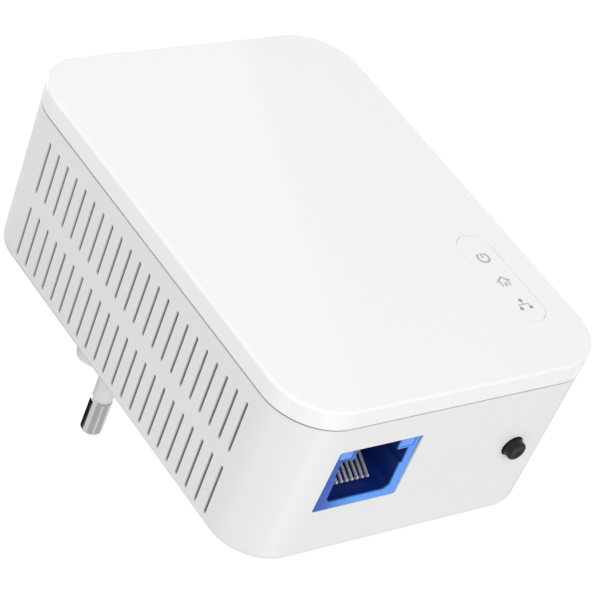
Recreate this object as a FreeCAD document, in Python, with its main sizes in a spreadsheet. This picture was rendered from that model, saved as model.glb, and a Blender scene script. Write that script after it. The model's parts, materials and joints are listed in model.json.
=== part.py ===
import FreeCAD, Part
import Sketcher
import math
import os

# Powerline adapter, millimetres, +Z up as it hangs in a wall socket. The origin lies between the two
# pins on the end face of the plug base. The pins point along +Y into the wall and the front cover faces -Y.
# "depth" below is the distance from the plug-base end face towards the front cover, so depth = -Y.

doc = FreeCAD.newDocument("powerline_adapter")
sheet = doc.addObject("Spreadsheet::Sheet", "Sheet")
V = FreeCAD.Vector
rows = [0]


class Q:
    """A number with the spreadsheet expression that gives it."""

    def __init__(self, v, e):
        self.v, self.e = float(v), e

    def __add__(self, o):
        o = q(o)
        return Q(self.v + o.v, "(%s + %s)" % (self.e, o.e))

    __radd__ = __add__

    def __sub__(self, o):
        o = q(o)
        return Q(self.v - o.v, "(%s - %s)" % (self.e, o.e))

    def __rsub__(self, o):
        return q(o) - self

    def __mul__(self, o):
        o = q(o)
        return Q(self.v * o.v, "(%s * %s)" % (self.e, o.e))

    __rmul__ = __mul__

    def __truediv__(self, o):
        o = q(o)
        return Q(self.v / o.v, "(%s / %s)" % (self.e, o.e))

    def __neg__(self):
        return Q(-self.v, "(0 - %s)" % self.e)


def q(x):
    return x if isinstance(x, Q) else Q(x, repr(float(x)))


def P(alias, value):
    """Add a driving dimension to the sheet."""
    rows[0] += 1
    sheet.set("A%d" % rows[0], alias)
    sheet.set("B%d" % rows[0], repr(float(value)))
    sheet.setAlias("B%d" % rows[0], alias)
    return Q(value, "Sheet." + alias)


# ---------------------------------------------------------------- driving dimensions
body_w = P("body_w", 62.4)          # width across the front cover
body_l = P("body_l", 86.0)          # length of the front cover
corner_r = P("corner_r", 10.1)      # plan corner radius
front_d = P("front_d", 49.3)        # depth of the front face
seam_d = P("seam_d", 45.6)          # depth of the parting line
back_d = P("back_d", 16.3)          # depth of the housing's back, which is the plug base's height
seam_gap = P("seam_gap", 0.42)      # width of the shadow groove
wall = P("wall", 2.0)
low_z = P("low_z", -64.5)           # Z of the port end
mid_z = P("mid_z", -21.5)           # Z of the body's middle
draft_side = P("draft_side", 0.0235)  # inset per mm of depth, long walls
draft_end = P("draft_end", 0.036)     # inset per mm of depth, end walls
step_side = P("step_side", 0.09)
step_end = P("step_end", 0.13)
front_fillet = P("front_fillet", 0.5)
back_fillet = P("back_fillet", 1.2)

lip_gap = P("lip_gap", 0.11)
lip_d = P("lip_d", 43.6)
lip_t = P("lip_t", 1.1)

post_x = P("post_x", 24.3)
post_lo = P("post_lo", -57.6)
post_hi = P("post_hi", 14.6)
post_r = P("post_r", 3.2)
post_base_r = P("post_base_r", 3.8)
post_base_d = P("post_base_d", 24.0)
post_top = P("post_top", 36.0)
boss_r = P("boss_r", 3.0)
boss_end = P("boss_end", 36.2)
screw_r = P("screw_r", 1.5)
screw_end = P("screw_end", 42.0)
pilot_end = P("pilot_end", 43.0)
screw_hole_r = P("screw_hole_r", 1.65)
well_r = P("well_r", 2.8)
well_depth = P("well_depth", 3.0)
head_r = P("head_r", 2.6)
head_len = P("head_len", 2.0)

vent_pitch = P("vent_pitch", 2.93)
vent_w = P("vent_w", 0.66)
vent_len = P("vent_len", 10.4)
vent_count = 22
vent_first = P("vent_first", -52.3)
vent_front_d = P("vent_front_d", 36.9)
vent_back_d = P("vent_back_d", 23.4)

port_x = P("port_x", -12.4)
port_d = P("port_d", 33.65)
port_w = P("port_w", 16.35)
port_h = P("port_h", 13.2)
btn_x = P("btn_x", 17.7)
btn_d = P("btn_d", 32.2)
btn_hole_r = P("btn_hole_r", 2.05)
btn_r = P("btn_r", 1.75)
btn_out = P("btn_out", 1.6)

base_side = P("base_side", 6.85)    # half width of the plug base
base_flat = P("base_flat", 13.02)   # half length of its straight sides
base_apex = P("base_apex", 18.77)   # where its end flanks would meet
base_nose_r = P("base_nose_r", 3.0)
base_side_r = P("base_side_r", 1.5)
base_rim_r = P("base_rim_r", 0.6)
base_in_side = P("base_in_side", 4.85)
base_in_flat = P("base_in_flat", 12.09)
base_in_apex = P("base_in_apex", 16.16)
base_wall = P("base_wall", 2.2)

pin_x = P("pin_x", 9.3)
pin_len = P("pin_len", 19.0)
pin_r = P("pin_r", 2.0)
pin_core_r = P("pin_core_r", 1.6)
pin_back = P("pin_back", 10.0)
pin_nose = P("pin_nose", 0.8)
pin_nose_r = P("pin_nose_r", 1.35)
sleeve_len = P("sleeve_len", 11.0)
sleeve_r = P("sleeve_r", 1.9)
sleeve_chamfer = P("sleeve_chamfer", 0.27)
pin_chamfer = P("pin_chamfer", 0.35)
sleeve_hole_r = P("sleeve_hole_r", 1.95)

win_x = P("win_x", 22.6)
win_z = P("win_z", -43.5)
win_w = P("win_w", 6.5)
win_l = P("win_l", 21.0)
win_gap = P("win_gap", 0.06)
win_flange = P("win_flange", 0.5)
flange_t = P("flange_t", 0.8)

board_t = P("board_t", 1.6)
main_front = P("main_front", 27.1)
power_front = P("power_front", 21.3)
main_half = P("main_half", 28.0)
main_z0 = P("main_z0", -61.5)
main_z1 = P("main_z1", -18.0)
main_notch_x = P("main_notch_x", 20.6)
main_notch_z = P("main_notch_z", -53.4)
power_half = P("power_half", 27.9)
power_z0 = P("power_z0", -20.0)
power_z1 = P("power_z1", 18.0)
power_notch_x = P("power_notch_x", 20.0)
power_notch_z = P("power_notch_z", 10.0)
bpost_r = P("bpost_r", 2.6)
bhole_r = P("bhole_r", 1.35)
bscrew_r = P("bscrew_r", 1.1)
bhead_r = P("bhead_r", 2.1)
bhead_t = P("bhead_t", 1.4)

label_w = P("label_w", 38.0)
label_l = P("label_l", 24.0)
label_z = P("label_z", -41.0)
label_t = P("label_t", 0.2)

main_screws = [(P("ms1x", -24.5), P("ms1z", -37.5)), (P("ms2x", 25.0), P("ms2z", -24.0)), (P("ms3x", 10.0), P("ms3z", -57.9))]
power_screws = [(P("ps1x", -25.0), P("ps1z", 3.0)), (P("ps2x", 24.9), P("ps2z", 7.3))]
floor_d = back_d + wall             # the housing's inner floor


def half_w(depth):
    return body_w / 2 - step_side - draft_side * (seam_d - depth)


def half_l(depth):
    return body_l / 2 - step_end - draft_end * (seam_d - depth)


def plan_r(depth):
    return corner_r - step_side - draft_side * (seam_d - depth)


# ---------------------------------------------------------------- building helpers
subparts = []
serial = [0]


def new(kind, hint):
    serial[0] += 1
    return doc.addObject(kind, "%s_%d" % (hint, serial[0]))


def bind(obj, path, value):
    obj.setExpression(path, q(value).e)


def edges_where(feature, test):
    return ["Edge%d" % (i + 1) for i, e in enumerate(feature.Shape.Edges) if test(e)]


def ends_at(e, depth):
    return all(abs(v.Point.y + depth) < 1e-3 for v in e.Vertexes)


class Body:
    """A PartDesign body whose sketches are placed by X, depth and Z."""

    def __init__(self, label):
        self.body = doc.addObject("PartDesign::Body", label)
        self.body.Label = label
        self.n = 0
        self.refine = True
        subparts.append(self.body)

    def origin(self, role):
        return [o for o in self.body.Origin.OriginFeatures if o.Role == role][0]

    def sketch(self, plane, x, depth, z):
        self.n += 1
        s = self.body.newObject("Sketcher::SketchObject", "%s_sk%d" % (self.body.Name, self.n))
        s.AttachmentSupport = [(self.origin(plane + "_Plane"), "")]
        s.MapMode = "FlatFace"
        x, depth, z = q(x), q(depth), q(z)
        where = {"XZ": (x, z, depth), "YZ": (-depth, z, x), "XY": (x, -depth, z)}[plane]
        for axis, value in zip("xyz", where):
            bind(s, "AttachmentOffset.Base." + axis, value)
        return s

    def feature(self, kind, sketch, length=None, reverse=False):
        self.n += 1
        f = self.body.newObject("PartDesign::" + kind, "%s_%s%d" % (self.body.Name, kind, self.n))
        f.Profile = sketch
        if length is not None:
            bind(f, "Length", length)
        f.Reversed = reverse
        f.Refine = self.refine
        self.body.Tip = f
        return f

    def pad(self, sketch, length):
        return self.feature("Pad", sketch, length)

    def pocket(self, sketch, length, forward):
        """forward cuts along the sketch's normal, else against it."""
        doc.recompute()
        before = self.body.Shape.Volume
        f = self.feature("Pocket", sketch, length, forward)
        doc.recompute()
        if not self.body.Shape.Volume < before - 1e-6:
            raise RuntimeError("%s cuts nothing" % f.Name)
        return f

    def loft(self, kind, first, second):
        self.n += 1
        f = self.body.newObject("PartDesign::" + kind, "%s_%s%d" % (self.body.Name, kind, self.n))
        f.Profile = first
        f.Sections = [second]
        f.Ruled = True
        f.Refine = self.refine
        self.body.Tip = f
        doc.recompute()
        return f

    def fillet(self, kind, test, size):
        doc.recompute()
        base = self.body.Tip
        names = edges_where(base, test)
        if not names:
            raise RuntimeError("no edges for %s" % self.body.Name)
        self.n += 1
        f = self.body.newObject("PartDesign::" + kind, "%s_%s%d" % (self.body.Name, kind, self.n))
        f.Base = (base, names)
        bind(f, "Radius" if kind == "Fillet" else "Size", size)
        self.body.Tip = f
        doc.recompute()
        return f

    def repeat(self, originals, axis, pitch, count):
        self.n += 1
        f = self.body.newObject("PartDesign::LinearPattern", "%s_row%d" % (self.body.Name, self.n))
        f.Originals = originals
        f.Refine = self.refine
        f.Direction = (self.origin(axis + "_Axis"), [""])
        bind(f, "Length", q(pitch) * (count - 1))
        f.Occurrences = count
        self.body.Tip = f
        doc.recompute()
        return f


def dim(s, kind, *args):
    """Add a driving constraint bound to the sheet."""
    value = q(args[-1])
    i = s.addConstraint(Sketcher.Constraint(kind, *args[:-1], value.v))
    name = "c%d" % i
    s.renameConstraint(i, name)
    s.setExpression("Constraints." + name, value.e)


def locate(s, geo, pos, x, y):
    for kind, value, on in (("DistanceX", q(x), -2), ("DistanceY", q(y), -1)):
        if abs(value.v) < 1e-9:
            s.addConstraint(Sketcher.Constraint("PointOnObject", geo, pos, on))
        elif value.v > 0:
            dim(s, kind, -1, 1, geo, pos, value)
        else:
            dim(s, kind, geo, pos, -1, 1, -value)


def rounded(s, w, h, r):
    """A rectangle w by h with corner radius r, centred on the sketch's origin."""
    w, h, r = q(w), q(h), q(r)
    x, y, X, Y = w.v / 2 - r.v, h.v / 2 - r.v, w.v / 2, h.v / 2
    i = s.GeometryCount
    half = math.pi / 2
    geo = [
        Part.LineSegment(V(-x, -Y, 0), V(x, -Y, 0)),
        Part.LineSegment(V(X, -y, 0), V(X, y, 0)),
        Part.LineSegment(V(x, Y, 0), V(-x, Y, 0)),
        Part.LineSegment(V(-X, y, 0), V(-X, -y, 0)),
    ]
    for k, (cx, cy) in enumerate(((x, -y), (x, y), (-x, y), (-x, -y))):
        circle = Part.Circle(V(cx, cy, 0), V(0, 0, 1), r.v)
        geo.append(Part.ArcOfCircle(circle, (k - 1) * half, k * half))
    s.addGeometry(geo, False)
    for k in range(4):
        s.addConstraint(Sketcher.Constraint("Tangent", i + k, 2, i + 4 + k, 1))
        s.addConstraint(Sketcher.Constraint("Tangent", i + 4 + k, 2, i + (k + 1) % 4, 1))
        s.addConstraint(Sketcher.Constraint("Vertical" if k % 2 else "Horizontal", i + k))
    for k in range(1, 4):
        s.addConstraint(Sketcher.Constraint("Equal", i + 4, i + 4 + k))
    s.addConstraint(Sketcher.Constraint("Symmetric", i + 7, 3, i + 5, 3, -1, 1))
    dim(s, "Radius", i + 4, r)
    dim(s, "DistanceX", i + 7, 3, i + 4, 3, w - 2 * r)
    dim(s, "DistanceY", i + 4, 3, i + 5, 3, h - 2 * r)


def pill(s, w, h, upright=True):
    """An obround, centred on the sketch's origin: w across, h along its long axis."""
    w, h = q(w), q(h)
    r, e = w.v / 2, (h.v - w.v) / 2
    i = s.GeometryCount

    def at(a, b):
        return V(a, b, 0) if upright else V(b, -a, 0)

    turn = 0 if upright else -math.pi / 2
    s.addGeometry([
        Part.LineSegment(at(r, -e), at(r, e)),
        Part.ArcOfCircle(Part.Circle(at(0, e), V(0, 0, 1), r), turn, turn + math.pi),
        Part.LineSegment(at(-r, e), at(-r, -e)),
        Part.ArcOfCircle(Part.Circle(at(0, -e), V(0, 0, 1), r), turn + math.pi, turn + 2 * math.pi),
    ], False)
    for k in range(4):
        s.addConstraint(Sketcher.Constraint("Tangent", i + k, 2, i + (k + 1) % 4, 1))
    s.addConstraint(Sketcher.Constraint("Vertical" if upright else "Horizontal", i))
    s.addConstraint(Sketcher.Constraint("Symmetric", i + 1, 3, i + 3, 3, -1, 1))
    dim(s, "Radius", i + 1, w / 2)
    dim(s, "Distance", i, h - w)


def circles(s, places, r):
    for x, y in places:
        x, y = q(x), q(y)
        i = s.GeometryCount
        s.addGeometry([Part.Circle(V(x.v, y.v, 0), V(0, 0, 1), q(r).v)], False)
        locate(s, i, 3, x, y)
        dim(s, "Radius", i, r)


def polygon(s, points):
    points = [(q(x), q(y)) for x, y in points]
    i, n = s.GeometryCount, len(points)
    s.addGeometry([
        Part.LineSegment(V(points[k][0].v, points[k][1].v, 0),
                         V(points[(k + 1) % n][0].v, points[(k + 1) % n][1].v, 0))
        for k in range(n)
    ], False)
    for k in range(n):
        s.addConstraint(Sketcher.Constraint("Coincident", i + k, 2, i + (k + 1) % n, 1))
    for k in range(n):
        locate(s, i + k, 1, *points[k])


def rect_points(x0, x1, y0, y1):
    return [(x0, y0), (x1, y0), (x1, y1), (x0, y1)]


def box(x0, x1, d0, d1, z0, z1, turn=None):
    o = new("Part::Box", "block")
    x0, x1, d0, d1, z0, z1 = map(q, (x0, x1, d0, d1, z0, z1))
    bind(o, "Length", x1 - x0)
    bind(o, "Width", d1 - d0)
    bind(o, "Height", z1 - z0)
    if turn is not None:
        o.Placement.Rotation = turn
    bind(o, "Placement.Base.x", x0)
    bind(o, "Placement.Base.y", -d1)
    bind(o, "Placement.Base.z", z0)
    return o


TURN = {
    "front": FreeCAD.Rotation(V(1, 0, 0), 90),    # along -Y, from low depth to high
    "wall": FreeCAD.Rotation(V(1, 0, 0), -90),    # along +Y, towards the wall
    "x": FreeCAD.Rotation(V(0, 1, 0), 90),
    "z": FreeCAD.Rotation(),
}


def place(o, x, d, z, axis):
    o.Placement.Rotation = TURN[axis]
    bind(o, "Placement.Base.x", x)
    bind(o, "Placement.Base.y", -q(d))
    bind(o, "Placement.Base.z", z)
    return o


def rod(x, d, z, r, length, axis="front"):
    o = new("Part::Cylinder", "rod")
    bind(o, "Radius", r)
    bind(o, "Height", length)
    return place(o, x, d, z, axis)


def cone(x, d, z, r1, r2, length, axis="front"):
    o = new("Part::Cone", "cone")
    bind(o, "Radius1", r1)
    bind(o, "Radius2", r2)
    bind(o, "Height", length)
    return place(o, x, d, z, axis)


def ring(x, d, z, big, small, axis="front", sweep=360, start=0):
    o = new("Part::Torus", "ring")
    bind(o, "Radius1", big)
    bind(o, "Radius2", small)
    o.Angle3 = sweep
    place(o, x, d, z, axis)
    if start:
        o.Placement.Rotation = TURN[axis].multiply(FreeCAD.Rotation(V(0, 0, 1), start))
    return o


def fuse(*objs):
    if len(objs) == 1:
        return objs[0]
    o = new("Part::MultiFuse", "joined")
    o.Shapes = list(objs)
    return o


def cut(base, *tools):
    o = new("Part::Cut", "cut")
    o.Base = base
    o.Tool = fuse(*tools)
    return o


def rounded_edges(base, r, test=None):
    """Round a primitive's edges: all of them, or those that pass the test."""
    doc.recompute()
    o = new("Part::Fillet", "rounded")
    o.Base = base
    o.Edges = [(i + 1, float(r), float(r)) for i, e in enumerate(base.Shape.Edges)
               if test is None or test(e)]
    return o


def group(*objs):
    o = new("Part::Compound", "group")
    o.Links = list(objs)
    return o


def part(label, obj):
    obj.Label = label
    subparts.append(obj)
    return obj


def along(e, axis):
    """Is this a straight edge along the axis?"""
    if len(e.Vertexes) < 2:
        return False
    a = e.Vertexes[1].Point - e.Vertexes[0].Point
    return a.Length > 1e-6 and abs(abs(getattr(a, axis)) - a.Length) < 1e-6


def block_part(label, x, z, w, l, t, base, edge=0.3):
    """A moulded block standing on a board: middle x and z, width, length, height above the board's face."""
    x, z, w, l, t = P(label + "_px", x), P(label + "_pz", z), P(label + "_dx", w), P(label + "_dz", l), P(label + "_dy", t)
    o = box(x - w / 2, x + w / 2, base, base + t, z - l / 2, z + l / 2)
    if edge:
        o = rounded_edges(o, edge, lambda e: not ends_at(e, q(base).v))
    return part(label, o)


# ---------------------------------------------------------------- front cover
# A shallow shell: rim, lip that registers in the housing, four screw bosses and the symbol window.
corner_posts = [(post_x, post_lo), (-post_x, post_lo), (post_x, post_hi), (-post_x, post_hi)]
rim_d = seam_d + seam_gap / 2
cover = Body("front_cover")
s = cover.sketch("XZ", 0, rim_d, mid_z)
rounded(s, body_w, body_l, corner_r)
cover.pad(s, front_d - rim_d)
cover.fillet("Fillet", lambda e: ends_at(e, front_d.v), front_fillet)
lip_w = half_w(lip_d) * 2 - wall * 2 - lip_gap * 2
lip_l = half_l(lip_d) * 2 - wall * 2 - lip_gap * 2
lip_r = plan_r(lip_d) - wall - lip_gap
s = cover.sketch("XZ", 0, rim_d, mid_z)
rounded(s, lip_w - 2 * lip_t, lip_l - 2 * lip_t, lip_r - lip_t)
cover.pocket(s, front_d - wall - rim_d, True)
s = cover.sketch("XZ", 0, lip_d, mid_z)
rounded(s, lip_w, lip_l, lip_r)
rounded(s, lip_w - 2 * lip_t, lip_l - 2 * lip_t, lip_r - lip_t)
cover.pad(s, rim_d - lip_d)
s = cover.sketch("XZ", 0, boss_end, 0)
circles(s, corner_posts, boss_r)
cover.pad(s, front_d - wall - boss_end)
s = cover.sketch("XZ", 0, boss_end, 0)
circles(s, corner_posts, screw_r)
cover.pocket(s, pilot_end - boss_end, True)
s = cover.sketch("XZ", win_x, front_d, win_z)
pill(s, win_w + 2 * win_gap, win_l + 2 * win_gap)
cover.pocket(s, wall + 0.5, False)

# ---------------------------------------------------------------- window and light path
lens = Body("indicator_lens")
lens_back = front_d - wall
s = lens.sketch("XZ", win_x, lens_back - flange_t, win_z)
pill(s, win_w + 2 * win_flange, win_l + 2 * win_flange)
lens.pad(s, flange_t)
s = lens.sketch("XZ", win_x, lens_back, win_z)
pill(s, win_w, win_l)
lens.pad(s, wall - 0.03)

led_z = [P("led_z1", -38.5), P("led_z2", -44.3), P("led_z3", -49.9)]
guide_t = P("guide_t", 1.2)
guide_end = P("guide_end", 28.2)
bar_top = lens_back - flange_t
part("light_guide", fuse(
    box(win_x - 1.6, win_x + 1.6, bar_top - guide_t, bar_top, led_z[2] - 1.6, led_z[0] + 1.6),
    *[rod(win_x, guide_end, z, 1.2, bar_top - guide_t / 2 - guide_end) for z in led_z]))
part("status_leds", group(*[
    rounded_edges(fuse(box(win_x - 1.0, win_x + 1.0, main_front, main_front + 0.35, z - 0.65, z + 0.65),
                       box(win_x - 0.7, win_x + 0.7, main_front + 0.3, main_front + 0.85, z - 0.6, z + 0.6)),
                  0.08, lambda e: ends_at(e, main_front.v + 0.85)) for z in led_z]))

# ---------------------------------------------------------------- main board and the parts on it
main = Body("main_board")
s = main.sketch("XZ", 0, main_front - board_t, 0)
polygon(s, [(-main_notch_x, main_z0), (main_notch_x, main_z0), (main_notch_x, main_notch_z),
            (main_half, main_notch_z), (main_half, main_z1), (-main_half, main_z1),
            (-main_half, main_notch_z), (-main_notch_x, main_notch_z)])
main.pad(s, board_t)
s = main.sketch("XZ", 0, main_front, 0)
circles(s, main_screws, bhole_r)
main.pocket(s, board_t + 1, False)

power = Body("power_board")
s = power.sketch("XZ", 0, power_front - board_t, 0)
polygon(s, [(-power_half, power_z0), (power_half, power_z0), (power_half, power_notch_z),
            (power_notch_x, power_notch_z), (power_notch_x, power_z1), (-power_notch_x, power_z1),
            (-power_notch_x, power_notch_z), (-power_half, power_notch_z)])
power.pad(s, board_t)
s = power.sketch("XZ", 0, power_front, 0)
circles(s, power_screws, bhole_r)
power.pocket(s, board_t + 1, False)
strip_z = P("strip_z", 1.7)
for side in (-1, 1):
    s = power.sketch("XZ", side * pin_x, power_front, strip_z)
    rounded(s, 3.3, 0.9, 0.2)
    power.pocket(s, board_t + 1, False)


def board_screws(label, places, face, depth):
    made = []
    for x, z in places:
        head = rod(x, face, z, bhead_r, bhead_t)
        cross = fuse(box(x - 1.2, x + 1.2, face + 0.6, face + 2, z - 0.25, z + 0.25),
                     box(x - 0.25, x + 0.25, face + 0.6, face + 2, z - 1.2, z + 1.2))
        made.append(cut(fuse(head, rod(x, face - depth, z, bscrew_r, depth + 0.2)), cross))
    part(label, group(*made))


board_screws("main_board_screws", main_screws, main_front, 6.2)
board_screws("power_board_screws", power_screws, power_front, 4.2)

# RJ45 socket, face down through the port end wall.
jack_w = P("jack_w", 16.0)
jack_h = P("jack_h", 13.0)
jack_l = P("jack_l", 21.0)
jack_z = P("jack_z", -63.7)
jack_mid = main_front + jack_h / 2
jack = Body("rj45_housing")
s = jack.sketch("XY", port_x, jack_mid, jack_z)
rounded(s, jack_w, jack_h, 0.2)
jack.pad(s, jack_l)
key_half = P("key_half", 4.3)
mid_half = P("mid_half", 6.6)
low_half = P("low_half", 6.2)
cav_floor = P("cav_floor", 28.6)
cav_step = P("cav_step", 34.2)
cav_key = P("cav_key", 37.6)
cav_top = P("cav_top", 39.7)
cav_len = P("cav_len", 13.5)
s = jack.sketch("XY", port_x, 0, jack_z)
polygon(s, [(-low_half + 0.8, -cav_floor), (low_half - 0.8, -cav_floor), (low_half, -(cav_floor + 0.8)),
            (low_half, -cav_step), (mid_half, -cav_step), (mid_half, -cav_key), (key_half, -cav_key),
            (key_half, -cav_top), (-key_half, -cav_top), (-key_half, -cav_key), (-mid_half, -cav_key),
            (-mid_half, -cav_step), (-low_half, -cav_step), (-low_half, -(cav_floor + 0.8))])
jack.pocket(s, cav_len, True)
lamp_x = P("lamp_x", 6.05)
lamp_w = P("lamp_w", 2.5)
lamp_h = P("lamp_h", 1.8)
lamp_mid = P("lamp_mid", 38.75)
for side in (-1, 1):
    s = jack.sketch("XY", port_x + side * lamp_x, lamp_mid, jack_z)
    rounded(s, lamp_w + 0.1, lamp_h + 0.1, 0.1)
    jack.pocket(s, 9.0, True)
part("rj45_leds", group(*[
    box(port_x + side * lamp_x - lamp_w / 2, port_x + side * lamp_x + lamp_w / 2,
        lamp_mid - lamp_h / 2, lamp_mid + lamp_h / 2, jack_z + 0.15, jack_z + 8.9) for side in (-1, 1)]))

# Eight sprung wires: each has a round root near the socket's mouth and slopes up as it goes in.
wire_pitch = P("wire_pitch", 1.02)
wire_w = P("wire_w", 0.42)
wire_t = P("wire_t", 0.3)
wire_len = P("wire_len", 9.4)
root_d = P("root_d", 29.45)
root_z = P("root_z", -60.9)
wires = []
for k in range(8):
    cx = port_x + wire_pitch * (k - 3.5)
    leaf = box(cx - wire_w / 2, cx + wire_w / 2, root_d, root_d + wire_t, root_z, root_z + wire_len,
               FreeCAD.Rotation(V(1, 0, 0), 27))
    wires.append(fuse(leaf, rod(cx - wire_w / 2, root_d, root_z, 0.32, wire_w, "x")))
part("rj45_contacts", group(*wires))
part("rj45_solder_tails", group(*[
    rod(port_x + 1.27 * (k - 3.5), main_front - board_t - 1.6, jack_z + (16.5 if k % 2 else 14.0), 0.35, 1.6)
    for k in range(8)]))

# Right-angle push switch behind the button hole.
sw_w = P("sw_w", 6.2)
sw_z = P("sw_z", -61.3)
sw_l = P("sw_l", 4.0)
sw_h = P("sw_h", 7.6)
bore_r = P("bore_r", 1.8)
switch_base = box(btn_x - sw_w / 2, btn_x + sw_w / 2, main_front, main_front + sw_h, sw_z, sw_z + sw_l)
part("switch_body", cut(switch_base, rod(btn_x, btn_d, sw_z - 0.1, bore_r, 2.1, "z"),
                        rod(btn_x, btn_d, sw_z + 1.0, 2.35, 1.6, "z")))
part("switch_bracket", cut(
    box(btn_x - sw_w / 2 - 0.3, btn_x + sw_w / 2 + 0.3, main_front, main_front + sw_h + 0.3, sw_z + 0.8, sw_z + sw_l + 0.3),
    box(btn_x - sw_w / 2, btn_x + sw_w / 2, main_front - 1, main_front + sw_h, sw_z, sw_z + sw_l)))
btn_face = P("btn_face", -65.48)
plunger = rod(btn_x, btn_d, btn_face, btn_r, sw_z + 1.2 - btn_face, "z")
shoulder = rod(btn_x, btn_d, sw_z + 1.1, 2.2, 0.7, "z")
button = rounded_edges(fuse(plunger, shoulder), 0.35, lambda e: abs(e.BoundBox.ZMin - btn_face.v) < 1e-3 and abs(e.BoundBox.ZMax - btn_face.v) < 1e-3)
dish = new("Part::Sphere", "dish")
bind(dish, "Radius", 5.0)
place(dish, btn_x, btn_d, btn_face - 4.88, "z")
part("pair_button", cut(button, dish))

block_part("lan_transformer", -12.4, -35.5, 15.0, 10.0, 6.0, main_front, 0.5)
block_part("phy_chip", -11.9, -26.2, 6.0, 6.0, 0.9, main_front, 0.1)
block_part("plc_chip", 6.0, -41.5, 11.0, 11.0, 1.1, main_front, 0.1)
pad_top = main_front + 1.1 + 0.5
block_part("thermal_pad", 6.0, -41.5, 10.0, 10.0, 0.5, main_front + 1.1, 0)
sink = Body("chip_heatsink")
s = sink.sketch("XZ", 6.0, pad_top, -41.5)
rounded(s, 18.0, 18.0, 0.5)
sink.pad(s, P("sink_base", 1.5))
s = sink.sketch("XZ", 6.0 - 8.5, pad_top + 1.4, -41.5)
rounded(s, 1.0, 18.0, 0.2)
fin = sink.pad(s, P("fin_height", 7.0))
sink.repeat([fin], "X", P("fin_pitch", 3.4), 6)
block_part("memory_chip", 6.0, -26.5, 9.0, 8.0, 1.0, main_front, 0.1)
block_part("flash_chip", 17.5, -28.5, 5.2, 5.2, 1.7, main_front, 0.1)
block_part("crystal", 17.4, -36.0, 3.2, 5.0, 1.0, main_front, 0.3)
part("filter_inductors", group(*[
    rounded_edges(box(x - 2.2, x + 2.2, main_front, main_front + 2.6, z - 2.2, z + 2.2), 0.6,
                  lambda e: along(e, "y"))
    for x, z in ((-4.0, -28.2), (-4.0, -22.0), (14.2, -22.0))]))


def wound_core(core_label, x, z, base, w, l, t, win_w, win_h):
    x, z, w, l, t = P(core_label + "_px", x), P(core_label + "_pz", z), P(core_label + "_dx", w), P(core_label + "_dz", l), P(core_label + "_dy", t)
    mid = q(base) + t / 2
    outer = rounded_edges(box(x - w / 2, x + w / 2, base, q(base) + t, z - l / 2, z + l / 2), 0.4)
    part(core_label, cut(outer, box(x - win_w / 2, x + win_w / 2, mid - win_h / 2, mid + win_h / 2,
                                    z - l / 2 - 1, z + l / 2 + 1)))
    return x, z, mid


cx, cz, cm = wound_core("coupling_core", -21.3, -23.8, main_front, 12.0, 8.0, 9.0, 8.0, 6.0)
part("coupling_winding", rounded_edges(box(cx - 3.9, cx + 3.9, cm - 2.9, cm + 2.9, cz - 5.2, cz + 5.2), 1.5))

part("board_header", cut(
    box(-8.0, 8.0, power_front, main_front - board_t, -20.0, -18.2),
    *[box(x - 0.3, x + 0.3, power_front + 1.0, power_front + 3.0, -21, -19.4) for x in (-6.3, -3.8, -1.3, 1.2, 3.7, 6.2)]))

# ---------------------------------------------------------------- parts on the power board
part("transformer_bobbin", fuse(
    box(-4.0, 14.0, power_front, power_front + 2.0, -18.0, -1.8),
    box(-1.0, 11.0, power_front + 2.0, power_front + 15.4, -17.3, -16.4),
    box(-1.0, 11.0, power_front + 2.0, power_front + 15.4, -2.8, -1.9)))
tx, tz, tm = wound_core("transformer_core", 5.0, -9.6, power_front + 2.0, 17.0, 11.0, 15.0, 10.8, 9.0)
part("transformer_winding", rounded_edges(box(tx - 5.3, tx + 5.3, tm - 4.4, tm + 4.4, -16.4, -2.8), 1.6,
                                          lambda e: along(e, "z")))


def can(x, z, r, height):
    body = rod(x, power_front, z, r, height)
    return cut(body, ring(x, power_front + 2.0, z, r + 0.25, 0.6), box(x - r * 0.7, x + r * 0.7, power_front + height - 0.25, power_front + height + 1, z - 0.15, z + 0.15),
               box(x - 0.15, x + 0.15, power_front + height - 0.25, power_front + height + 1, z - r * 0.7, z + r * 0.7))


cap_r = P("bulk_cap_r", 4.9)
part("bulk_capacitors", group(can(q(19.0), q(-12.0), cap_r, P("bulk_cap_l", 20.0)), can(q(19.0), q(-1.9), cap_r, P("bulk_cap_l2", 20.0))))
part("output_capacitor", can(q(-8.3), q(-13.4), P("out_cap_r", 3.9), P("out_cap_l", 12.0)))
diode_r = P("diode_r", 2.5)
part("output_diode", fuse(rod(-23.5, power_front + diode_r, -14.7, diode_r, 9.0, "x"),
                          box(-24.4, -23.5, power_front, power_front + 3.0, -15.1, -14.3),
                          box(-14.5, -13.6, power_front, power_front + 3.0, -15.1, -14.3)))
block_part("film_capacitor", -20.0, -9.2, 13.0, 5.0, 10.5, power_front, 0.5)
block_part("optocoupler", -11.4, -3.2, 4.6, 6.4, 3.6, power_front, 0.3)
varistor_r = P("varistor_r", 4.8)
part("varistor", fuse(rod(-21.6, power_front + 5.6, -4.5, varistor_r, 3.6, "z"),
                      box(-24.6, -23.8, power_front, power_front + 3.0, -3.2, -2.4),
                      box(-19.4, -18.6, power_front, power_front + 3.0, -3.2, -2.4)))
fuse_r = P("fuse_r", 4.0)
part("fuse", rounded_edges(rod(-17.2, power_front, 5.6, fuse_r, 8.0), 0.5, lambda e: ends_at(e, power_front.v + 8.0)))
ycap_r = P("ycap_r", 3.8)
part("y_capacitor", fuse(rod(-7.6, power_front + 4.4, -5.0, ycap_r, 2.6, "x"),
                         box(-6.7, -5.9, power_front, power_front + 2.5, -7.6, -6.8),
                         box(-6.7, -5.9, power_front, power_front + 2.5, -3.2, -2.4)))
choke_R = P("choke_r", 4.0)
choke_mid = power_front + 3.0
choke_z = P("choke_z", 4.4)
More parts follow.
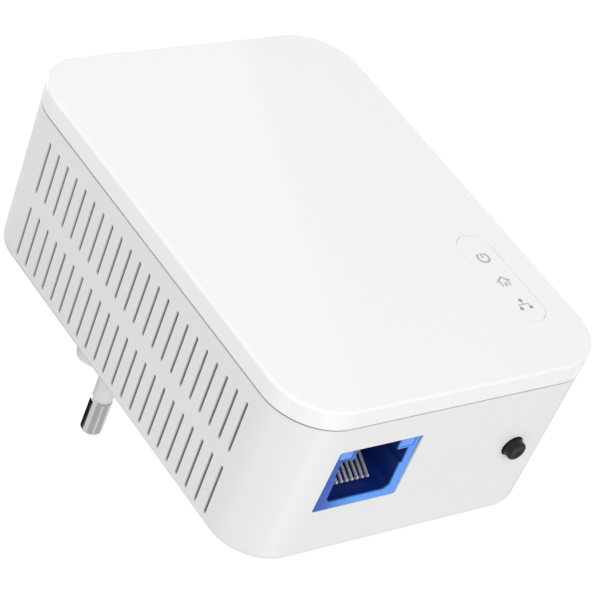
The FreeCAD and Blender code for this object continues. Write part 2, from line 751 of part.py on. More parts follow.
part("choke_core", fuse(ring(0, choke_mid, choke_z, choke_R, 1.9),
                        rod(0, power_front, choke_z + choke_R, 0.8, 1.8),
                        rod(0, power_front, choke_z - choke_R, 0.8, 1.8)))
part("choke_windings", group(*[
    cut(ring(0, choke_mid, choke_z, choke_R, 2.7, sweep=110, start=start), ring(0, choke_mid, choke_z, choke_R, 1.9))
    for start in (-55, 125)]))
block_part("bridge_rectifier", 14.6, 6.0, 6.4, 4.6, 3.4, power_front, 0.3)
block_part("switcher_chip", 13.6, 13.4, 9.4, 6.4, 3.4, power_front, 0.3)
block_part("x_capacitor", 0.0, 14.2, 15.0, 7.0, 12.0, power_front, 0.5)

# Insulating sheet between the power board and the housing floor.
film = Body("insulation_sheet")
s = film.sketch("XZ", 0, floor_d + 0.2, 0)
polygon(s, [(-27.2, -20.0), (27.2, -20.0), (27.2, 9.0), (19.5, 9.0), (19.5, 17.5), (-19.5, 17.5), (-19.5, 9.0), (-27.2, 9.0)])
film.pad(s, P("film_t", 0.3))
s = film.sketch("XZ", 0, floor_d + 1, 0)
circles(s, power_screws, bpost_r + 0.3)
film.pocket(s, 3.0, False)
s = film.sketch("XZ", 0, floor_d + 1, 0)
rounded(s, 34.0, 10.0, 1.0)
film.pocket(s, 3.0, False)

# ---------------------------------------------------------------- plug
tip_len = pin_len - sleeve_len
part("plug_pins", group(*[
    fuse(rod(side * pin_x, pin_back, 0, pin_core_r, pin_back + sleeve_len + 0.5, "wall"),
         cone(side * pin_x, -sleeve_len, 0, pin_r - 0.25, pin_r, pin_chamfer, "wall"),
         rod(side * pin_x, -(sleeve_len + pin_chamfer), 0, pin_r, tip_len - pin_chamfer - pin_nose, "wall"),
         cone(side * pin_x, -(pin_len - pin_nose), 0, pin_r, pin_nose_r, pin_nose, "wall"))
    for side in (-1, 1)]))
part("pin_sleeves", group(*[
    cut(fuse(rod(side * pin_x, base_wall, 0, sleeve_r, base_wall + sleeve_len - sleeve_chamfer, "wall"),
             cone(side * pin_x, -(sleeve_len - sleeve_chamfer), 0, sleeve_r, sleeve_r - 0.12, sleeve_chamfer, "wall")),
        rod(side * pin_x, base_wall + 1, 0, pin_core_r, base_wall + sleeve_len + 2, "wall"))
    for side in (-1, 1)]))
carrier_t = P("carrier_t", 6.5)
part("pin_carrier", cut(
    rounded_edges(box(-11.6, 11.6, base_wall, base_wall + carrier_t, -4.6, 4.6), 0.6, lambda e: along(e, "y")),
    *[rod(side * pin_x, base_wall - 1, 0, pin_core_r, carrier_t + 2) for side in (-1, 1)]))
part("pin_contacts", group(*[
    fuse(box(side * pin_x - 2.2, side * pin_x + 2.2, pin_back, pin_back + 0.6, -2.0, strip_z + 0.3),
         box(side * pin_x - 1.5, side * pin_x + 1.5, pin_back, power_front + 1.2, strip_z - 0.3, strip_z + 0.3))
    for side in (-1, 1)]))

# ---------------------------------------------------------------- housing screws and label
seat = back_d + well_depth
screws = []
for x, z in corner_posts:
    head = rounded_edges(rod(x, seat - head_len, z, head_r, head_len), 0.5, lambda e: ends_at(e, seat.v - head_len.v))
    cross = fuse(box(x - 1.5, x + 1.5, seat - head_len - 1, seat - head_len + 1.1, z - 0.32, z + 0.32),
                 box(x - 0.32, x + 0.32, seat - head_len - 1, seat - head_len + 1.1, z - 1.5, z + 1.5))
    screws.append(cut(fuse(head, rod(x, seat - 0.2, z, screw_r, screw_end - seat + 0.2)), cross))
part("housing_screws", group(*screws))

plate = Body("rating_label")
s = plate.sketch("XZ", 0, back_d + 0.04, label_z)
rounded(s, label_w, label_l, 1.0)
plate.pad(s, label_t - 0.04)

# ---------------------------------------------------------------- rear housing
housing = Body("rear_housing")
housing.refine = False
top_d = seam_d - seam_gap / 2
a = housing.sketch("XZ", 0, back_d, mid_z)
rounded(a, half_w(back_d) * 2, half_l(back_d) * 2, plan_r(back_d))
b = housing.sketch("XZ", 0, top_d, mid_z)
rounded(b, half_w(top_d) * 2, half_l(top_d) * 2, plan_r(top_d))
housing.loft("AdditiveLoft", a, b)
housing.fillet("Fillet", lambda e: ends_at(e, back_d.v), back_fillet)
over_d = top_d + 1
a = housing.sketch("XZ", 0, floor_d, mid_z)
rounded(a, (half_w(floor_d) - wall) * 2, (half_l(floor_d) - wall) * 2, plan_r(floor_d) - wall)
b = housing.sketch("XZ", 0, over_d, mid_z)
rounded(b, (half_w(over_d) - wall) * 2, (half_l(over_d) - wall) * 2, plan_r(over_d) - wall)
housing.loft("SubtractiveLoft", a, b)

# Plug base: an elongated hexagon with rounded noses, hollow from inside.
s = housing.sketch("XZ", 0, 0, 0)
polygon(s, [(-base_apex, 0), (-base_flat, -base_side), (base_flat, -base_side),
            (base_apex, 0), (base_flat, base_side), (-base_flat, base_side)])
housing.pad(s, back_d + wall / 2)


def at_x(e, x, lo, hi):
    """A straight edge along Y at this |X|, within these depths."""
    return along(e, "y") and abs(abs(e.Vertexes[0].Point.x) - x) < 0.05 and all(
        lo - 0.01 < -v.Point.y < hi + 0.01 for v in e.Vertexes)


housing.fillet("Fillet", lambda e: at_x(e, base_apex.v, 0, back_d.v), base_nose_r)
housing.fillet("Fillet", lambda e: at_x(e, base_flat.v, 0, back_d.v), base_side_r)
housing.fillet("Fillet", lambda e: ends_at(e, 0), base_rim_r)
s = housing.sketch("XZ", 0, floor_d + 0.01, 0)
polygon(s, [(-base_in_apex, 0), (-base_in_flat, -base_in_side), (base_in_flat, -base_in_side),
            (base_in_apex, 0), (base_in_flat, base_in_side), (-base_in_flat, base_in_side)])
housing.pocket(s, floor_d + 0.01 - base_wall, False)
s = housing.sketch("XZ", 0, base_wall + 0.1, 0)
circles(s, [(pin_x, 0), (-pin_x, 0)], sleeve_hole_r)
housing.pocket(s, base_wall + 0.2, False)

# Corner posts with screw wells from the back.
s = housing.sketch("XZ", 0, back_d + wall / 2, 0)
circles(s, corner_posts, post_base_r)
housing.pad(s, post_base_d - back_d - wall / 2)
s = housing.sketch("XZ", 0, back_d + wall / 2, 0)
circles(s, corner_posts, post_r)
housing.pad(s, post_top - back_d - wall / 2)
s = housing.sketch("XZ", 0, post_top + 0.5, 0)
circles(s, corner_posts, screw_hole_r)
housing.pocket(s, post_top + 1 - back_d, False)
s = housing.sketch("XZ", 0, back_d - 0.5, 0)
circles(s, corner_posts, well_r)
housing.pocket(s, well_depth + 0.5, True)

# Board posts.
s = housing.sketch("XZ", 0, back_d + wall / 2, 0)
circles(s, main_screws, bpost_r)
housing.pad(s, main_front - board_t - back_d - wall / 2)
s = housing.sketch("XZ", 0, back_d + wall / 2, 0)
circles(s, power_screws, bpost_r)
housing.pad(s, power_front - board_t - back_d - wall / 2)
s = housing.sketch("XZ", 0, main_front - board_t, 0)
circles(s, main_screws, bscrew_r)
housing.pocket(s, 5.0, False)
s = housing.sketch("XZ", 0, power_front - board_t, 0)
circles(s, power_screws, bscrew_r)
housing.pocket(s, 2.9, False)

# Socket opening and button hole in the port end wall, and a shallow recess for the label.
s = housing.sketch("XY", port_x, port_d, low_z - 1)
rounded(s, port_w, port_h, 0.35)
housing.pocket(s, 5.0, True)
s = housing.sketch("XY", btn_x, btn_d, low_z - 1)
circles(s, [(0, 0)], btn_hole_r)
housing.pocket(s, 5.0, True)
s = housing.sketch("XZ", 0, back_d - 0.5, label_z)
rounded(s, label_w + 0.4, label_l + 0.4, 1.2)
housing.pocket(s, label_t + 0.5, True)

# Cooling slots: two rows in each long wall.
slots = []
for depth in (vent_front_d, vent_back_d):
    for side in (-1, 1):
        s = housing.sketch("YZ", side * 32.0, depth, vent_first)
        pill(s, vent_w, vent_len, upright=False)
        slots.append(housing.pocket(s, 4.2, side < 0))
housing.repeat(slots, "Z", vent_pitch, vent_count)

# ---------------------------------------------------------------- recompute, check and write
doc.recompute()
bad = [o.Name for o in doc.Objects if "Invalid" in o.State or "Error" in o.State]
for o in subparts:
    shape = o.Shape
    if shape.isNull() or not shape.isValid() or not shape.Solids:
        bad.append("shape of " + o.Label)
if bad:
    raise RuntimeError("failed: " + ", ".join(bad))
os.makedirs("parts", exist_ok=True)
for o in subparts:
    o.Shape.exportStep("parts/%s.step" % o.Label)
print(len(subparts), "sub-parts,", sum(len(o.Shape.Solids) for o in subparts), "solids")
for o in subparts:
    bb = o.Shape.BoundBox
    print("%-22s %2d solids %9.2f mm3  X %.2f..%.2f  Y %.2f..%.2f  Z %.2f..%.2f" % (
        o.Label, len(o.Shape.Solids), o.Shape.Volume, bb.XMin, bb.XMax, bb.YMin, bb.YMax, bb.ZMin, bb.ZMax))
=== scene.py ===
import bpy, bmesh, json, math
from mathutils import Matrix, Vector


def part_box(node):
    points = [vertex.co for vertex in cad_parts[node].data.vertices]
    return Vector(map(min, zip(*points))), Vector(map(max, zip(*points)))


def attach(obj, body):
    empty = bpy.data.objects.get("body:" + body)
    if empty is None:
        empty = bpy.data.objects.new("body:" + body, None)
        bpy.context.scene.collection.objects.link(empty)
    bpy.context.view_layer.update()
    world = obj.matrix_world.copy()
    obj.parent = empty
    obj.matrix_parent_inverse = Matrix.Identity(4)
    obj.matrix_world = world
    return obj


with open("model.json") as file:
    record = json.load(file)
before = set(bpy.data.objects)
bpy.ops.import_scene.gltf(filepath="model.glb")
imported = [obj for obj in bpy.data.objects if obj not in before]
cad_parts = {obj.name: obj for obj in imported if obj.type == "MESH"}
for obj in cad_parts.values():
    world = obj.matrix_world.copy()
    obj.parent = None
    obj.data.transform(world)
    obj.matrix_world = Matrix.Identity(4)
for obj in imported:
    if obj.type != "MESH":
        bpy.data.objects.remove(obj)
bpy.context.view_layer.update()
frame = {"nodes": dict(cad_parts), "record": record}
nodes = frame["nodes"]
scene = bpy.context.scene
scene.view_settings.view_transform = "Standard"
scene.view_settings.look = "None"

MM = 0.001


# ------------------------------------------------------------------ materials
class Graph:
    def __init__(self, name):
        self.mat = bpy.data.materials.new(name)
        self.mat.use_nodes = True
        self.t = self.mat.node_tree
        self.bsdf = self.t.nodes["Principled BSDF"]
        self.coord = self.t.nodes.new("ShaderNodeTexCoord").outputs["Object"]

    def new(self, kind, **sockets):
        n = self.t.nodes.new(kind)
        for k, v in sockets.items():
            n.inputs[k].default_value = v
        return n

    def link(self, a, b):
        self.t.links.new(a, b)

    def noise(self, scale, detail=3.0, rough=0.55, stretch=None):
        n = self.new("ShaderNodeTexNoise", Scale=scale, Detail=detail, Roughness=rough)
        src = self.coord
        if stretch:
            m = self.t.nodes.new("ShaderNodeMapping")
            m.inputs["Scale"].default_value = stretch
            self.link(src, m.inputs["Vector"])
            src = m.outputs["Vector"]
        self.link(src, n.inputs["Vector"])
        return n.outputs["Fac"]

    def ramp(self, fac, stops):
        r = self.t.nodes.new("ShaderNodeValToRGB")
        e = r.color_ramp.elements
        while len(e) < len(stops):
            e.new(0.5)
        for el, (pos, col) in zip(e, stops):
            el.position = pos
            el.color = (*col, 1.0)
        self.link(fac, r.inputs["Fac"])
        return r.outputs["Color"]

    def span(self, fac, lo, hi, a=0.3, b=0.7):
        m = self.t.nodes.new("ShaderNodeMapRange")
        m.inputs["From Min"].default_value = a
        m.inputs["From Max"].default_value = b
        m.inputs["To Min"].default_value = lo
        m.inputs["To Max"].default_value = hi
        self.link(fac, m.inputs["Value"])
        return m.outputs["Result"]

    def bump(self, height, strength, distance, chain=None):
        b = self.t.nodes.new("ShaderNodeBump")
        b.inputs["Strength"].default_value = strength
        b.inputs["Distance"].default_value = distance
        self.link(height, b.inputs["Height"])
        if chain is not None:
            self.link(chain, b.inputs["Normal"])
        return b.outputs["Normal"]

    def math(self, op, a, b=None, c=None):
        m = self.t.nodes.new("ShaderNodeMath")
        m.operation = op
        for i, v in enumerate((a, b, c)):
            if v is None:
                continue
            if isinstance(v, (int, float)):
                m.inputs[i].default_value = v
            else:
                self.link(v, m.inputs[i])
        return m.outputs[0]

    def smooth(self, v, lo, hi):
        m = self.t.nodes.new("ShaderNodeMapRange")
        m.interpolation_type = "SMOOTHSTEP"
        m.inputs["From Min"].default_value = lo
        m.inputs["From Max"].default_value = hi
        self.link(v, m.inputs["Value"])
        return m.outputs["Result"]

    def blend(self, fac, colour, other):
        m = self.t.nodes.new("ShaderNodeMix")
        m.data_type = "RGBA"
        self.link(fac, m.inputs["Factor"])
        self.link(colour, m.inputs[6])
        m.inputs[7].default_value = (*other, 1.0)
        return m.outputs[2]

    def axes(self):
        s = self.t.nodes.new("ShaderNodeSeparateXYZ")
        self.link(self.coord, s.inputs[0])
        return s.outputs

    def recess_shade_mask(self):
        """Mask of painted shade: 0 on the shell's outside, 1 from half a millimetre within it: slot walls, hole walls,
        the parting groove and the hollow, which are painted darker as shade.
        """
        x, y, z = self.axes()
        d = self.math("MULTIPLY", y, -1000.0)
        drop = self.math("SUBTRACT", 45.6, d)
        qx = self.math("SUBTRACT", self.math("ABSOLUTE", self.math("MULTIPLY", x, 1000.0)), 21.1)
        zc = self.math("ABSOLUTE", self.math("MULTIPLY_ADD", z, 1000.0, 21.5))
        qz = self.math("SUBTRACT", zc, self.math("MULTIPLY_ADD", drop, -0.0125, 32.86))
        px, pz = self.math("MAXIMUM", qx, 0.0), self.math("MAXIMUM", qz, 0.0)
        far = self.math("SQRT", self.math("ADD", self.math("MULTIPLY", px, px), self.math("MULTIPLY", pz, pz)))
        near = self.math("MINIMUM", self.math("MAXIMUM", qx, qz), 0.0)
        r = self.math("MULTIPLY_ADD", drop, -0.0235, 10.01)
        inward = self.math("SUBTRACT", r, self.math("ADD", far, near))
        side = self.smooth(inward, 0.14, 0.50)
        rear = self.smooth(d, 16.55, 17.2)
        front = self.smooth(d, 48.95, 48.6)
        return self.math("MULTIPLY", side, self.math("MULTIPLY", rear, front))

    def mouth_shade_fade(self, z_face, reach):
        """1 on the face of the socket, fading to 0 a little way into it: the fade paints shade that deepens into the
        socket.
        """
        z = self.axes()[2]
        t = self.math("MULTIPLY_ADD", z, 1000.0, -z_face)
        return self.smooth(t, reach, 0.0)


def shade(c, k):
    return tuple(max(0.0, min(1.0, x * k)) for x in c)


def moulded(name, base, rough, vary=0.03, patch=35.0, grain=0.0, grain_scale=4200.0, wave=0.0,
            coat=0.0, coat_rough=0.05, ior=1.47, spec=0.5, recess_shade_colour=None, face=None):
    """Injection-moulded plastic: slow tone drift, roughness drift, fine grain and slight sink waviness."""
    g = Graph(name)
    colour = g.ramp(g.noise(patch, 2.0), [(0.25, shade(base, 1 - vary)), (0.5, base), (0.75, shade(base, 1 + vary * 0.6))])
    # painted shade: slot walls, hole walls, the parting groove and the hollow are darkened towards this colour
    if recess_shade_colour:
        colour = g.blend(g.recess_shade_mask(), colour, recess_shade_colour)
    # painted light and shade on the socket: the face goes from a shaded blue towards -X to a lit blue towards +X, then
    # fades into the dark base colour as painted shade deeper in
    if face:
        side_shade_ramp = g.ramp(g.smooth(g.axes()[0], face[3], face[4]), [(0.0, face[5]), (0.5, shade(face[2], 0.72)), (1.0, face[2])])
        m = g.t.nodes.new("ShaderNodeMix")
        m.data_type = "RGBA"
        g.link(g.mouth_shade_fade(face[0], face[1]), m.inputs["Factor"])
        g.link(colour, m.inputs[6])
        g.link(side_shade_ramp, m.inputs[7])
        colour = m.outputs[2]
    g.link(colour, g.bsdf.inputs["Base Color"])
    g.link(g.span(g.noise(patch * 3, 1.0), rough * 0.93, rough * 1.07, 0.2, 0.8), g.bsdf.inputs["Roughness"])
    chain = None
    if wave:
        chain = g.bump(g.noise(70.0, 2.0), wave, 0.0004, chain)
    if grain:
        chain = g.bump(g.noise(grain_scale, 2.0, 0.6), grain, 0.00004, chain)
    if chain is not None:
        g.link(chain, g.bsdf.inputs["Normal"])
    g.bsdf.inputs["IOR"].default_value = ior
    g.bsdf.inputs["Specular IOR Level"].default_value = spec
    if coat:
        g.bsdf.inputs["Coat Weight"].default_value = coat
        g.bsdf.inputs["Coat Roughness"].default_value = coat_rough
    return g.mat


def metal(name, base, rough, vary=0.06, brush=None, brush_strength=0.15, patch=90.0, solid=1.0):
    """Plated or brushed metal: tone drift, fine scratches along the brushing."""
    g = Graph(name)
    g.bsdf.inputs["Metallic"].default_value = solid
    g.link(g.ramp(g.noise(patch, 4.0), [(0.3, shade(base, 1 - vary)), (0.52, base), (0.72, shade(base, 1 + vary))]),
           g.bsdf.inputs["Base Color"])
    lines = g.noise(900.0, 2.0, 0.6, stretch=brush or (1, 1, 1))
    g.link(g.span(lines, rough * 0.7, rough * 1.35), g.bsdf.inputs["Roughness"])
    g.link(g.bump(lines, brush_strength, 0.00002), g.bsdf.inputs["Normal"])
    return g.mat


def board(name, base, mask, trace_scale=420.0):
    """Solder-masked board: faint trace pattern under the mask."""
    g = Graph(name)
    v = g.t.nodes.new("ShaderNodeTexVoronoi")
    v.distance = "CHEBYCHEV"
    v.feature = "F1"
    v.inputs["Scale"].default_value = trace_scale
    g.link(g.coord, v.inputs["Vector"])
    g.link(g.ramp(v.outputs["Distance"], [(0.25, base), (0.34, mask), (0.6, shade(mask, 0.92))]), g.bsdf.inputs["Base Color"])
    g.link(g.span(g.noise(300.0), 0.28, 0.42), g.bsdf.inputs["Roughness"])
    g.link(g.bump(v.outputs["Distance"], 0.12, 0.00003), g.bsdf.inputs["Normal"])
    return g.mat


def wound(name, base, dark, scale, axis="X", rough=0.35, metallic=0.0):
    """Wire or tape wound in even turns."""
    g = Graph(name)
    w = g.t.nodes.new("ShaderNodeTexWave")
    w.wave_type = "BANDS"
    w.bands_direction = axis
    w.inputs["Scale"].default_value = scale
    w.inputs["Distortion"].default_value = 0.4
    g.link(g.coord, w.inputs["Vector"])
    g.link(g.ramp(w.outputs["Fac"], [(0.05, dark), (0.5, base), (0.95, shade(base, 1.1))]), g.bsdf.inputs["Base Color"])
    g.link(g.bump(w.outputs["Fac"], 0.4, 0.00006), g.bsdf.inputs["Normal"])
    g.link(g.span(g.noise(400.0), rough * 0.8, rough * 1.2), g.bsdf.inputs["Roughness"])
    g.bsdf.inputs["Metallic"].default_value = metallic
    return g.mat


M = {
    # cover and housing: the dark colour given for slots, groove and hollow is painted shade
    "cover_gloss": moulded("cover_gloss", (0.885, 0.885, 0.885), 0.030, vary=0.005, patch=14.0, wave=0.004, ior=1.49, coat=0.3, coat_rough=0.01, recess_shade_colour=(0.16, 0.16, 0.16)),
    "housing_matte": moulded("housing_matte", (0.80, 0.80, 0.80), 0.32, vary=0.006, patch=30.0, grain=0.12, grain_scale=3600.0, ior=1.47, recess_shade_colour=(0.27, 0.27, 0.27)),
    "lens_white": moulded("lens_white", (0.88, 0.88, 0.883), 0.05, vary=0.005, patch=30.0, ior=1.49, coat=0.3, coat_rough=0.02),
    "guide_clear": moulded("guide_clear", (0.82, 0.84, 0.86), 0.08, vary=0.02),
    "led_white": moulded("led_white", (0.85, 0.84, 0.70), 0.25, vary=0.05, patch=900.0),
    "board_green": board("board_green", (0.035, 0.16, 0.06), (0.02, 0.10, 0.04)),
    "board_tan": board("board_tan", (0.50, 0.36, 0.16), (0.42, 0.29, 0.12)),
    "screw_steel": metal("screw_steel", (0.62, 0.62, 0.60), 0.28, brush=(1, 1, 6)),
    # socket: the lit blue face, its shaded side and the dark navy deeper in are painted light and shade
    "socket_blue": moulded("socket_blue", (0.004, 0.016, 0.125), 0.30, vary=0.10, patch=240.0, grain=0.10, grain_scale=5000.0, ior=1.5, face=(-63.7, 0.40, (0.10, 0.32, 0.92), -0.0202, -0.0120, (0.022, 0.085, 0.46))),
    "lamp_window": moulded("lamp_window", (0.17, 0.34, 0.88), 0.20, vary=0.06, patch=500.0, ior=1.5),
    "contact_plated": metal("contact_plated", (0.80, 0.81, 0.86), 0.34, brush=(8, 1, 1), solid=0.75),
    "switch_black": moulded("switch_black", (0.018, 0.018, 0.019), 0.45, vary=0.15, patch=300.0, grain=0.2),
    "bracket_tin": metal("bracket_tin", (0.68, 0.68, 0.66), 0.32),
    "button_black": moulded("button_black", (0.0060, 0.0060, 0.0062), 0.42, vary=0.18, patch=420.0, grain=0.22, grain_scale=5200.0, ior=1.45, spec=0.35),
    "chip_black": moulded("chip_black", (0.022, 0.022, 0.024), 0.55, vary=0.12, patch=500.0, grain=0.25),
    "pad_grey": moulded("pad_grey", (0.42, 0.44, 0.50), 0.7, vary=0.08, patch=500.0, grain=0.3),
    "sink_aluminium": metal("sink_aluminium", (0.66, 0.66, 0.67), 0.38, brush=(1, 1, 0.1)),
    "crystal_tin": metal("crystal_tin", (0.72, 0.72, 0.68), 0.26),
    "ferrite_grey": moulded("ferrite_grey", (0.055, 0.055, 0.06), 0.6, vary=0.2, patch=600.0, grain=0.35),
    "tape_yellow": wound("tape_yellow", (0.78, 0.56, 0.06), (0.60, 0.40, 0.03), 260.0, "Y"),
    "can_sleeve": moulded("can_sleeve", (0.02, 0.022, 0.05), 0.24, vary=0.12, patch=260.0, grain=0.05),
    "film_box": moulded("film_box", (0.72, 0.55, 0.08), 0.34, vary=0.06, patch=240.0, grain=0.12),
    "opto_white": moulded("opto_white", (0.74, 0.74, 0.71), 0.5, vary=0.04, patch=400.0, grain=0.15),
    "disc_blue": moulded("disc_blue", (0.03, 0.15, 0.46), 0.28, vary=0.12, patch=300.0, wave=0.2),
    "fuse_brown": moulded("fuse_brown", (0.13, 0.045, 0.02), 0.26, vary=0.12, patch=260.0, grain=0.06),
    "copper_wire": wound("copper_wire", (0.72, 0.30, 0.12), (0.25, 0.08, 0.03), 420.0, "Z", 0.25, 0.8),
    "sheet_clear": moulded("sheet_clear", (0.74, 0.74, 0.70), 0.35, vary=0.04, patch=120.0, wave=0.2),
    "pin_nickel": metal("pin_nickel", (0.62, 0.615, 0.61), 0.20, vary=0.04, brush=(3, 0.3, 3), brush_strength=0.06, patch=160.0),
    "sleeve_grey": moulded("sleeve_grey", (0.80, 0.80, 0.80), 0.36, vary=0.02, patch=300.0, grain=0.08),
    "carrier_grey": moulded("carrier_grey", (0.46, 0.46, 0.45), 0.5, vary=0.06, patch=200.0, grain=0.2),
    "strip_brass": metal("strip_brass", (0.78, 0.60, 0.26), 0.25),
    "label_white": moulded("label_white", (0.80, 0.80, 0.79), 0.55, vary=0.02, patch=120.0, grain=0.12, grain_scale=2500.0),
}

slot_of = {s["node"]: s["material_slot"] for s in frame["record"]["subparts"]}
for name, ob in nodes.items():
    me = ob.data
    me.materials.clear()
    me.materials.append(M[slot_of[name]])
    for p in me.polygons:
        p.material_index = 0
    me.polygons.foreach_set("use_smooth", [True] * len(me.polygons))
    me.set_sharp_from_angle(angle=math.radians(32))

# ------------------------------------------------------------------ camera
cam_data = bpy.data.cameras.new("camera")
cam_data.sensor_width = 36.0
cam_data.sensor_fit = "HORIZONTAL"
cam_data.lens = 162.85
cam_data.clip_start = 0.01
cam_data.clip_end = 20.0
cam = bpy.data.objects.new("camera", cam_data)
scene.collection.objects.link(cam)
right = Vector((0.7915, -0.3129, -0.5250)).normalized()
back = Vector((-0.5942, -0.5948, -0.5413)).normalized()
up = back.cross(right).normalized()
right = up.cross(back).normalized()
rot = Matrix((right, up, back)).transposed()
cam.matrix_world = Matrix.Translation((-0.2624, -0.2958, -0.2648)) @ rot.to_4x4()
scene.camera = cam

# ------------------------------------------------------------------ floor and light
bm = bmesh.new()
bmesh.ops.create_grid(bm, x_segments=2, y_segments=2, size=12.0)
me = bpy.data.meshes.new("floor")
bm.to_mesh(me)
bm.free()
floor = bpy.data.objects.new("floor", me)
floor.location = (0, 0, -1.1)
scene.collection.objects.link(floor)
sweep = moulded("floor_pale", (0.88, 0.88, 0.88), 0.7, vary=0.008, patch=3.0)
sg = Graph.__new__(Graph)
sg.mat, sg.t = sweep, sweep.node_tree
sg.bsdf = sg.t.nodes["Principled BSDF"]
sg.coord = sg.t.nodes.new("ShaderNodeTexCoord").outputs["Object"]
fx, fy, _ = sg.axes()
reach = sg.math("SQRT", sg.math("ADD", sg.math("MULTIPLY", fx, fx), sg.math("MULTIPLY", fy, fy)))
glow = sg.math("MULTIPLY_ADD", sg.smooth(reach, 2.2, 7.0), 0.45, 0.14)
sg.bsdf.inputs["Emission Color"].default_value = (1, 1, 1, 1)
sg.link(glow, sg.bsdf.inputs["Emission Strength"])
me.materials.append(sweep)

LEVEL = {"world": 0.45, "gloss": 0.93, "head": 11.0, "front": 0.95, "top": 1.3, "below": 0.1, "crown": 2.8}

world = bpy.data.worlds.new("studio")
scene.world = world
world.use_nodes = True
wt = world.node_tree
bg = wt.nodes["Background"]
bg.inputs["Color"].default_value = (1, 1, 1, 1)
white = wt.nodes.new("ShaderNodeBackground")
white.inputs["Color"].default_value = (1, 1, 1, 1)
white.inputs["Strength"].default_value = 1.05
path = wt.nodes.new("ShaderNodeLightPath")
mix = wt.nodes.new("ShaderNodeMixShader")
out = wt.nodes["World Output"]
level = wt.nodes.new("ShaderNodeMath")
level.operation = "MULTIPLY_ADD"
level.inputs[1].default_value = LEVEL["gloss"] - LEVEL["world"]
level.inputs[2].default_value = LEVEL["world"]
wt.links.new(path.outputs["Is Glossy Ray"], level.inputs[0])
wt.links.new(level.outputs[0], bg.inputs["Strength"])
wt.links.new(path.outputs["Is Camera Ray"], mix.inputs["Fac"])
wt.links.new(bg.outputs["Background"], mix.inputs[1])
wt.links.new(white.outputs["Background"], mix.inputs[2])
wt.links.new(mix.outputs["Shader"], out.inputs["Surface"])


def lamp(name, where, at, size, power, size_y=None, axes=None):
    if power <= 0:
        return None
    d = bpy.data.lights.new(name, "AREA")
    d.shape = "RECTANGLE"
    d.size = size
    d.size_y = size_y or size
    d.energy = power
    o = bpy.data.objects.new(name, d)
    scene.collection.objects.link(o)
    if axes:
        o.matrix_world = Matrix.Translation(where) @ Matrix(axes).transposed().to_4x4()
    else:
        o.location = where
        o.rotation_euler = (Vector(where) - Vector(at)).to_track_quat("Z", "Y").to_euler()
    return o


centre = Vector((0, -0.033, -0.0215))
# broad soft light beside the camera
head_at = centre + Vector((-0.50, -0.60, -0.625)) * 1.05
lamp("head", head_at, centre, 1.0, LEVEL["head"] * 0.55).visible_glossy = False
lamp("head_sheen", head_at, centre, 1.0, LEVEL["head"] * 0.45)
# strips that run along the satin near corner
lamp("below", centre + Vector((-0.02, 0.60, -0.80)) * 0.75, centre, 0.16, LEVEL["below"], 0.5)
lamp("crown", centre + Vector((-0.16, 0.12, 0.98)) * 1.0, centre, 0.5, LEVEL["crown"])

# large soft box mirrored in the glossy front; its edge crosses the face
R0 = Vector((0.5977, -0.5756, 0.5581)).normalized()
ex = Vector((0, 0, 1)).cross(-R0).normalized()
ey = (-R0).cross(ex).normalized()
tilt = math.radians(21.2)
along = ex * -math.sin(tilt) + ey * math.cos(tilt)
across = ex * math.cos(tilt) + ey * math.sin(tilt)
mid = Vector((0, -0.0493, -0.0215)) + R0 * 1.2
lamp("front", mid + across * 0.40, None, 1.1, LEVEL["front"], 0.8, axes=(along, across, along.cross(across)))
lamp("top", (0.2, -1.2, 0.9), centre, 0.8, LEVEL["top"])

# small black card that only mirrors in the bare metal of the pins
bm = bmesh.new()
bmesh.ops.create_grid(bm, x_segments=1, y_segments=1, size=0.5)
me = bpy.data.meshes.new("flag_card")
bm.to_mesh(me)
bm.free()
card = bpy.data.objects.new("flag_card", me)
scene.collection.objects.link(card)
me.materials.append(moulded("flag_black", (0.004, 0.004, 0.004), 0.9, vary=0.02, spec=0.0))
pin_at = Vector((-0.0093, 0.015, 0))
aim = Vector((0.02, 0.595, 0.80)).normalized()
side = Vector((1, 0, 0))
side = (side - aim * side.dot(aim)).normalized()
card.matrix_world = Matrix.Translation(pin_at + aim * 0.060) @ Matrix((side * 0.13, aim.cross(side) * 0.05, aim)).transposed().to_4x4()
for ray in ("camera", "diffuse", "transmission", "volume_scatter", "shadow"):
    setattr(card, "visible_" + ray, False)

# ------------------------------------------------------------------ printed status symbols
win_lo, win_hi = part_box("indicator_lens")
face_y = win_lo.y
ICON_Y = face_y - 0.000012


def flat_piece(name, shapes, material):
    """Thin printed shapes: each is an outline of points in mm, X then Z about a centre."""
    bm = bmesh.new()
    for pts in shapes:
        front = [bm.verts.new((x * MM, ICON_Y, z * MM)) for x, z in pts]
        rear = [bm.verts.new((x * MM, face_y + 0.000004, z * MM)) for x, z in pts]
        n = len(pts)
        bm.faces.new(front)
        bm.faces.new(list(reversed(rear)))
        for i in range(n):
            bm.faces.new((front[i], rear[i], rear[(i + 1) % n], front[(i + 1) % n]))
    bmesh.ops.recalc_face_normals(bm, faces=bm.faces[:])
    me = bpy.data.meshes.new(name)
    bm.to_mesh(me)
    bm.free()
    me.materials.append(material)
    ob = bpy.data.objects.new(name, me)
    scene.collection.objects.link(ob)
    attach(ob, "adapter")
    return ob


def strip_ring(cx, cz, pts, w):
    """Quads along an open path, as separate closed strips joined end to end."""
    quads = []
    for (x0, z0), (x1, z1) in zip(pts, pts[1:]):
        dx, dz = x1 - x0, z1 - z0
        ln = math.hypot(dx, dz)
        ex, ez = dx / ln * w * 0.10, dz / ln * w * 0.10
        nx, nz = -dz / ln * w / 2, dx / ln * w / 2
        quads.append([(cx + x0 - ex + nx, cz + z0 - ez + nz), (cx + x0 - ex - nx, cz + z0 - ez - nz),
                      (cx + x1 + ex - nx, cz + z1 + ez - nz), (cx + x1 + ex + nx, cz + z1 + ez + nz)])
    return quads


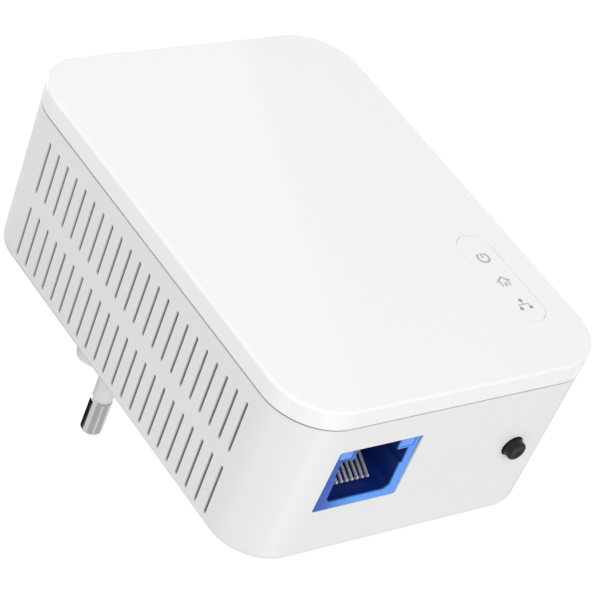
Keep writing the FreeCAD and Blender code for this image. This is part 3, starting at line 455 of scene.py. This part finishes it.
def band(cx, cz, r, w, a0, a1, n=28):
    """One closed outline of an arc band."""
    ang = [math.radians(a0 + (a1 - a0) * i / n) for i in range(n + 1)]
    outer = [(cx + (r + w / 2) * math.cos(a), cz + (r + w / 2) * math.sin(a)) for a in ang]
    inner = [(cx + (r - w / 2) * math.cos(a), cz + (r - w / 2) * math.sin(a)) for a in reversed(ang)]
    return outer + inner


def disc(cx, cz, r, n=20):
    return [(cx + r * math.cos(2 * math.pi * i / n), cz + r * math.sin(2 * math.pi * i / n)) for i in range(n)]


def bar(cx, cz, x0, z0, x1, z1, w):
    dx, dz = x1 - x0, z1 - z0
    ln = math.hypot(dx, dz)
    nx, nz = -dz / ln * w / 2, dx / ln * w / 2
    return [(cx + x0 + nx, cz + z0 + nz), (cx + x0 - nx, cz + z0 - nz), (cx + x1 - nx, cz + z1 - nz), (cx + x1 + nx, cz + z1 + nz)]


ink = moulded("symbol_ink", (0.44, 0.44, 0.44), 0.3, vary=0.05, patch=900.0)
IX = 22.6
flat_piece("symbol_power", [band(IX, -38.5, 1.06, 0.42, 120, 420), bar(IX, -38.5, 0, 0.0, 0, 1.05, 0.40)], ink)
cz = -44.3
house = []
wx, zb, ze, zt = 0.98, -1.05, 0.25, 1.20
house.append([(IX - wx, cz + zb), (IX - wx + 0.32, cz + zb), (IX - wx + 0.32, cz + ze - 0.06), (IX, cz + zt - 0.42), (IX + wx - 0.32, cz + ze - 0.06),
              (IX + wx - 0.32, cz + zb), (IX + wx, cz + zb), (IX + wx, cz + ze - 0.10), (IX + wx + 0.28, cz + ze - 0.36),
              (IX + wx + 0.44, cz + ze - 0.12), (IX, cz + zt), (IX - wx - 0.44, cz + ze - 0.12), (IX - wx - 0.28, cz + ze - 0.36), (IX - wx, cz + ze - 0.10)])
house.append([(IX - 0.28, cz + zb), (IX + 0.28, cz + zb), (IX + 0.28, cz + zb + 0.75), (IX - 0.28, cz + zb + 0.75)])
flat_piece("symbol_home", house, ink)
cz = -49.9
ink_dark = moulded("symbol_ink_dark", (0.27, 0.27, 0.27), 0.3, vary=0.05, patch=900.0)
flat_piece("symbol_network", [
    disc(IX, cz + 0.92, 0.36), disc(IX - 0.98, cz - 0.86, 0.36), disc(IX + 0.98, cz - 0.86, 0.36)], ink_dark)
flat_piece("symbol_network_lines", [
    [(IX - 0.12, cz + 0.58), (IX - 0.12, cz + 0.13), (IX - 1.10, cz + 0.13), (IX - 1.10, cz - 0.52), (IX - 0.86, cz - 0.52), (IX - 0.86, cz - 0.11),
     (IX + 0.86, cz - 0.11), (IX + 0.86, cz - 0.52), (IX + 1.10, cz - 0.52), (IX + 1.10, cz + 0.13), (IX + 0.12, cz + 0.13), (IX + 0.12, cz + 0.58)]], ink)

# ------------------------------------------------------------------ scene update
bpy.context.view_layer.update()
